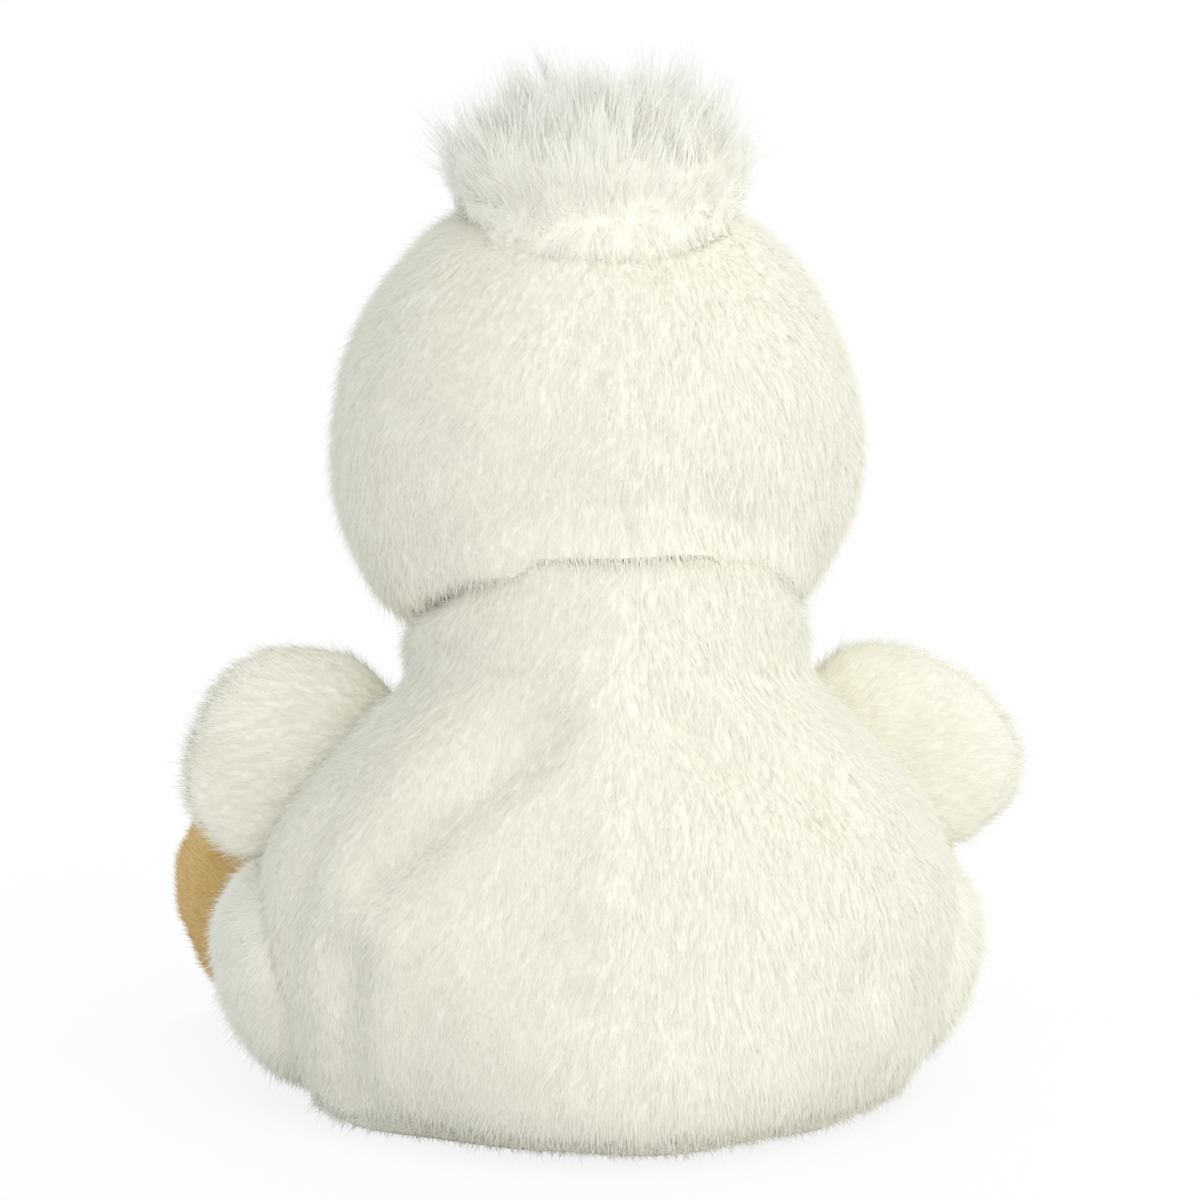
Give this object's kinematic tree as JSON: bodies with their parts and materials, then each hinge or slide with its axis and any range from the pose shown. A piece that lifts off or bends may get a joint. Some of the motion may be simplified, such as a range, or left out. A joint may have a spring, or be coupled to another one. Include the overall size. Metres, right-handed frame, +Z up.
{
  "type": "plush pelican",
  "caption": "Sitting plush pelican with a ball head, long-pile crest, stuffed bill, flap wings and webbed feet, weighted with pellets so that it sits upright.",
  "frame": {"origin": "on the flat face of the base panel, under the neck", "axes": "+Z up, the bird faces -Y, its left side is +X"},
  "size_m": [0.0984, 0.1101, 0.119],
  "materials": {
    "plush_white": "short soft pile, creamy white",
    "long_pile": "long fluffy pile, white",
    "plush_orange": "short soft pile, golden orange",
    "plush_gold": "short soft pile, pale golden orange",
    "stuffing": "loose white fibre",
    "pouch_cloth": "plain thin cloth",
    "pellets": "small smooth plastic pellets",
    "thread": "strong sewing thread",
    "eye_black": "polished black plastic",
    "washer_plastic": "moulded plastic"
  },
  "bodies": {
    "body": {"back_panel_left": "plush_white", "back_panel_right": "plush_white", "belly_panel": "plush_white", "base_panel": "plush_white", "body_stuffing": "stuffing", "bean_pouch": "pouch_cloth", "bean_charge": "pellets"},
    "neck": {"neck_thread": "thread"},
    "head": {"head_panel_left": "plush_white", "head_panel_right": "plush_white", "head_stuffing": "stuffing", "crest_patch": "long_pile", "eye_left": "eye_black", "eye_right": "eye_black", "eye_washer_left": "washer_plastic", "eye_washer_right": "washer_plastic"},
    "bill": {"bill_upper": "plush_orange", "bill_pouch": "plush_gold", "bill_stuffing": "stuffing"},
    "wing_left": {"wing_front_left": "plush_white", "wing_back_left": "plush_white", "wing_stuffing_left": "stuffing"},
    "wing_right": {"wing_front_right": "plush_white", "wing_back_right": "plush_white", "wing_stuffing_right": "stuffing"},
    "leg_left": {"leg_sleeve_left": "plush_white", "leg_stuffing_left": "stuffing"},
    "foot_left": {"foot_top_left": "plush_orange", "foot_sole_left": "plush_orange", "foot_stuffing_left": "stuffing"},
    "leg_right": {"leg_sleeve_right": "plush_white", "leg_stuffing_right": "stuffing"},
    "foot_right": {"foot_top_right": "plush_orange", "foot_sole_right": "plush_orange", "foot_stuffing_right": "stuffing"}
  },
  "joints": [
    {"name": "head_nod", "type": "hinge", "parent": "body", "child": "neck", "pos_m": [0, 0.0042, 0.0454], "axis": [1, 0, 0], "range_deg": [-10, 12], "stiffness_Nm_per_rad": 0.09},
    {"name": "head_turn", "type": "hinge", "parent": "neck", "child": "head", "pos_m": [0, 0.0042, 0.0454], "axis": [0, -0.342, 0.9397], "range_deg": [-25, 25], "stiffness_Nm_per_rad": 0.05},
    {"name": "bill_tip", "type": "hinge", "parent": "head", "child": "bill", "pos_m": [0, -0.03831, 0.06853], "axis": [1, 0, 0], "range_deg": [-8, 8], "stiffness_Nm_per_rad": 0.02},
    {"name": "wing_left_swing", "type": "hinge", "parent": "body", "child": "wing_left", "pos_m": [0.03665, -0.004, 0.04075], "axis": [0.7071, 0, -0.7071], "range_deg": [-15, 25], "stiffness_Nm_per_rad": 0.005},
    {"name": "wing_right_swing", "type": "hinge", "parent": "body", "child": "wing_right", "pos_m": [-0.03665, -0.004, 0.04075], "axis": [0.7071, 0, 0.7071], "range_deg": [-15, 25], "stiffness_Nm_per_rad": 0.005},
    {"name": "leg_left_splay", "type": "hinge", "parent": "body", "child": "leg_left", "pos_m": [0.0382, 0.0163, 0.0166], "axis": [0, 0, 1], "range_deg": [0, 14], "stiffness_Nm_per_rad": 0.03},
    {"name": "foot_left_flex", "type": "hinge", "parent": "leg_left", "child": "foot_left", "pos_m": [0.0344, -0.028, 0.0135], "axis": [1, 0, 0], "range_deg": [-15, 10], "stiffness_Nm_per_rad": 0.02},
    {"name": "leg_right_splay", "type": "hinge", "parent": "body", "child": "leg_right", "pos_m": [-0.0382, 0.0163, 0.0166], "axis": [0, 0, -1], "range_deg": [0, 14], "stiffness_Nm_per_rad": 0.03},
    {"name": "foot_right_flex", "type": "hinge", "parent": "leg_right", "child": "foot_right", "pos_m": [-0.0344, -0.028, 0.0135], "axis": [1, 0, 0], "range_deg": [-15, 10], "stiffness_Nm_per_rad": 0.02}
  ]
}
